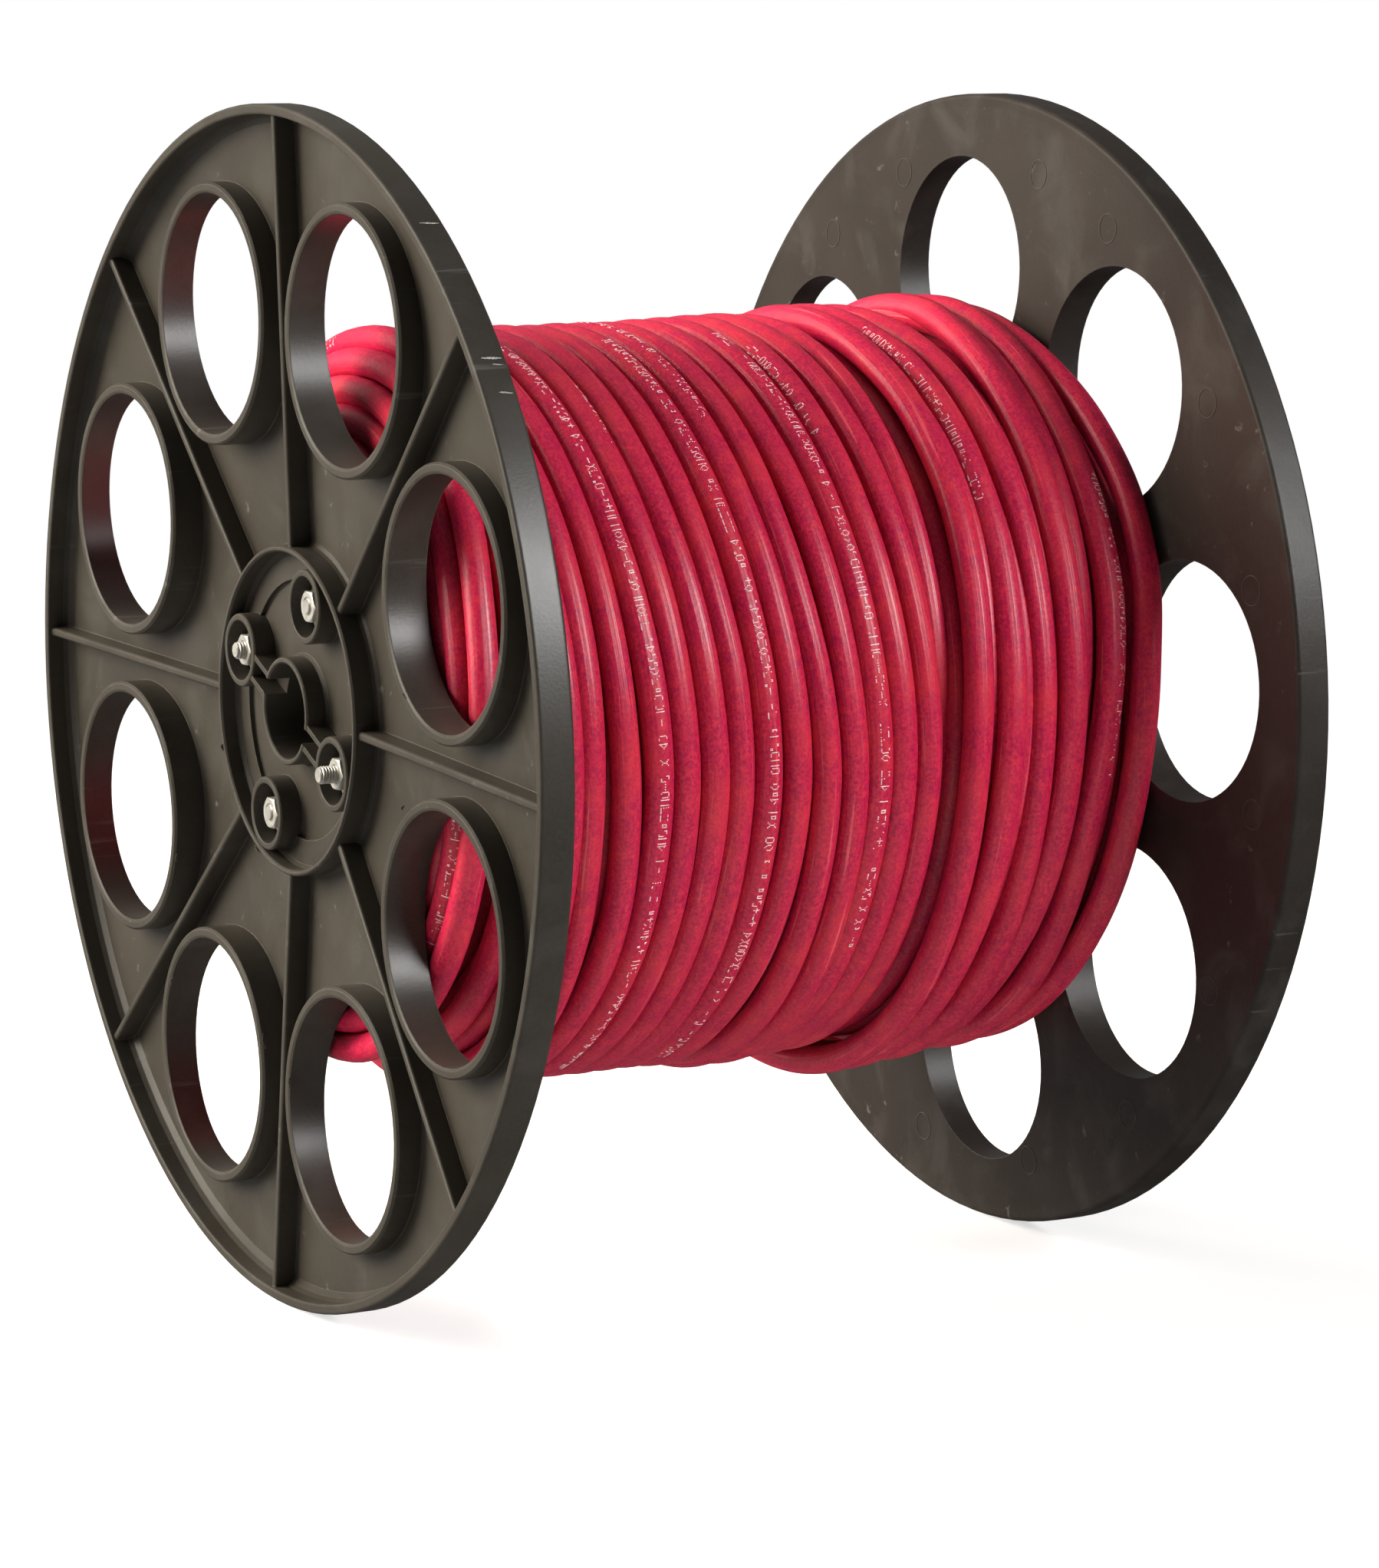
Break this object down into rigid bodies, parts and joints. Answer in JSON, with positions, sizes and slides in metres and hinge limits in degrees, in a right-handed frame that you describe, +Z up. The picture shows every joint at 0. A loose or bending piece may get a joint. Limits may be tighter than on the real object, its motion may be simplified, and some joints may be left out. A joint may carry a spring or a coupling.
{
  "type": "cable spool",
  "caption": "Two-flange plastic cable spool with round windows, radial ribs and tie rods, wound full with round sheathed cable.",
  "frame": {"origin": "on the spool axis, half way between the outer rim planes of the two flanges", "axes": "+X along the spool axis towards the right-hand flange, +Z up, the arbor bores lie on X"},
  "size_m": [0.286, 0.4, 0.4],
  "materials": {
    "black_plastic": "semi-gloss moulded",
    "barrel_plastic": "satin",
    "cable_sheath": "satin",
    "zinc_rod": "zinc plated",
    "zinc_nut": "zinc plated",
    "zinc_washer": "zinc plated"
  },
  "bodies": {
    "root": {"left_flange": "black_plastic", "right_flange": "black_plastic", "barrel": "barrel_plastic", "cable_winding": "cable_sheath", "tie_rod_1": "zinc_rod", "tie_rod_2": "zinc_rod", "tie_rod_3": "zinc_rod", "tie_rod_4": "zinc_rod", "nut_left_1": "zinc_nut", "nut_left_2": "zinc_nut", "nut_left_3": "zinc_nut", "nut_left_4": "zinc_nut", "nut_right_1": "zinc_nut", "nut_right_2": "zinc_nut", "nut_right_3": "zinc_nut", "nut_right_4": "zinc_nut", "washer_left_1": "zinc_washer", "washer_left_2": "zinc_washer", "washer_left_3": "zinc_washer", "washer_left_4": "zinc_washer", "washer_right_1": "zinc_washer", "washer_right_2": "zinc_washer", "washer_right_3": "zinc_washer", "washer_right_4": "zinc_washer"}
  },
  "joints": []
}
